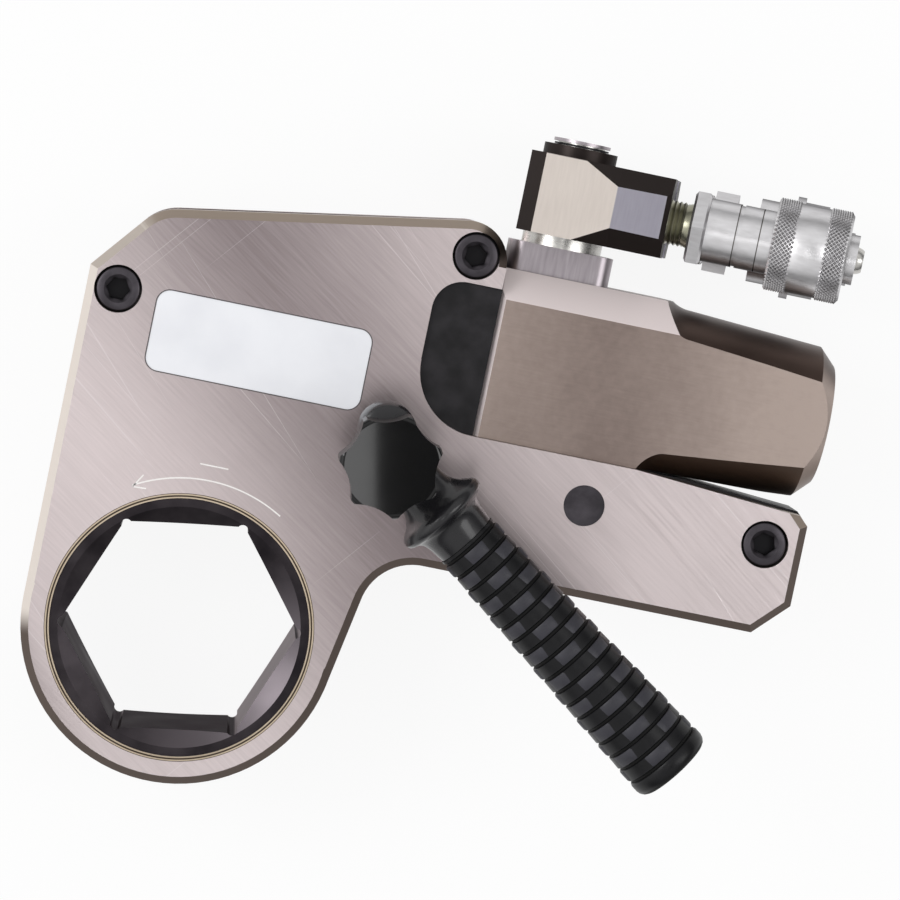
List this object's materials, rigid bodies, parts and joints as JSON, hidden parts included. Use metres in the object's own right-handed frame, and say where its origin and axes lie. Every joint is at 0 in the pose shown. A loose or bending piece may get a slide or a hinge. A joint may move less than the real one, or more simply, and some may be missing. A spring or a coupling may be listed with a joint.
{
  "type": "hydraulic torque wrench",
  "caption": "Low profile hydraulic torque wrench: ratchet cassette with an open hexagon drive, cylinder with swivelling hose couplers on its arm, and a side handle with a star knob.",
  "frame": {"origin": "centre of the hexagon opening, half way between the two side plates", "axes": "+X along the cylinder from the rod to the closed end, +Y from the hexagon towards the swivel, +Z out of the front plate, on the side of the handle"},
  "size_m": [0.2234, 0.2094, 0.1062],
  "materials": {
    "nickel": "satin nickel plate with fine random scratches",
    "label": "plain white plate",
    "black_plate": "black oxide, matt",
    "black_oxide": "black oxide, oiled",
    "bronze": "turned bronze",
    "dark_steel": "dark hardened steel",
    "body_steel": "brown grey plated steel, satin",
    "rod_chrome": "hard chrome, polished",
    "steel": "bright steel",
    "swivel_steel": "milled steel, satin",
    "zinc": "bright zinc plate",
    "yellow_zinc": "yellow zinc plate",
    "seal": "rubber",
    "handle_black": "black, semi-gloss",
    "grip": "black moulded grip, satin",
    "knob_black": "black, glossy"
  },
  "bodies": {
    "cassette": {"side_plate_front": "nickel", "side_plate_rear": "nickel", "spacer_sleeves": "steel", "arm_spacer": "black_plate", "cassette_screws": "black_oxide", "bush_front": "bronze", "bush_rear": "bronze", "label_plate": "label", "shroud": "black_plate", "retaining_pin": "black_oxide", "cylinder_body": "body_steel", "gland": "steel", "rod_seal": "seal", "swivel_base": "swivel_steel", "swivel_post": "steel", "swivel_seals": "seal", "swivel_snap_ring": "black_oxide", "swivel_cap": "swivel_steel", "handle_standoff": "handle_black", "handle_stud": "steel"},
    "ratchet": {"ratchet": "dark_steel"},
    "crank": {"drive_plate_front": "dark_steel", "drive_plate_rear": "dark_steel", "crank_block": "dark_steel", "crank_rivets": "steel", "drive_pin": "steel", "pawl_spring": "steel"},
    "pawl": {"pawl": "dark_steel"},
    "piston": {"piston_rod": "rod_chrome", "piston": "steel", "piston_seal": "seal"},
    "swivel": {"swivel_block": "swivel_steel", "nipple_front": "yellow_zinc", "nipple_rear": "yellow_zinc", "coupler_body_front": "zinc", "collar_ring": "black_oxide", "coupler_body_rear": "zinc", "poppet_spring_front": "steel", "poppet_spring_rear": "steel"},
    "collar": {"coupler_collar": "zinc"},
    "poppet_front": {"poppet_front": "steel"},
    "poppet_rear": {"poppet_rear": "steel"},
    "handle": {"handle_stem": "handle_black", "handle_grip": "grip", "knob_washer": "steel"},
    "knob": {"knob": "knob_black"}
  },
  "joints": [
    {"name": "piston_slide", "type": "slide", "parent": "cassette", "child": "piston", "axis": [-1, 0, 0], "range_m": [0, 0.0401]},
    {"name": "crank_swing", "type": "hinge", "parent": "cassette", "child": "crank", "pos_m": [0, 0, 0], "axis": [0, 0, 1], "range_deg": [0, 24]},
    {"name": "ratchet_turn", "type": "hinge", "parent": "cassette", "child": "ratchet", "pos_m": [0, 0, 0], "axis": [0, 0, 1], "range_deg": [0, 24]},
    {"name": "pawl_lift", "type": "slide", "parent": "crank", "child": "pawl", "axis": [0.2079, 0.9781, 0], "range_m": [0, 0.0028], "stiffness_N_per_m": 800, "springref_m": -0.002, "deforming": ["pawl_spring"]},
    {"name": "swivel_turn", "type": "hinge", "parent": "cassette", "child": "swivel", "pos_m": [0.0884, 0.14515, 0], "axis": [0, 1, 0], "continuous": true},
    {"name": "collar_spin", "type": "hinge", "parent": "swivel", "child": "collar", "pos_m": [0.15694, 0.14515, 0.0268], "axis": [0.9903, 0, 0.1392], "continuous": true},
    {"name": "poppet_front_press", "type": "slide", "parent": "swivel", "child": "poppet_front", "axis": [-0.9903, 0, -0.1392], "range_m": [0, 0.002], "stiffness_N_per_m": 1500, "springref_m": -0.001, "deforming": ["poppet_spring_front"]},
    {"name": "poppet_rear_press", "type": "slide", "parent": "swivel", "child": "poppet_rear", "axis": [-0.9903, 0, -0.1392], "range_m": [0, 0.002], "stiffness_N_per_m": 1500, "springref_m": -0.001, "deforming": ["poppet_spring_rear"]},
    {"name": "handle_swing", "type": "hinge", "parent": "cassette", "child": "handle", "pos_m": [0.0485, 0.06255, 0.0515], "axis": [0, 0, 1], "range_deg": [-170, 60]},
    {"name": "knob_turn", "type": "hinge", "parent": "cassette", "child": "knob", "pos_m": [0.0485, 0.06255, 0.07], "axis": [0, 0, 1], "continuous": true}
  ],
  "couplings": [
    {"joint": "crank_swing", "follows": "piston_slide", "rad_per_m": 10.45},
    {"joint": "ratchet_turn", "follows": "piston_slide", "rad_per_m": 10.45}
  ]
}
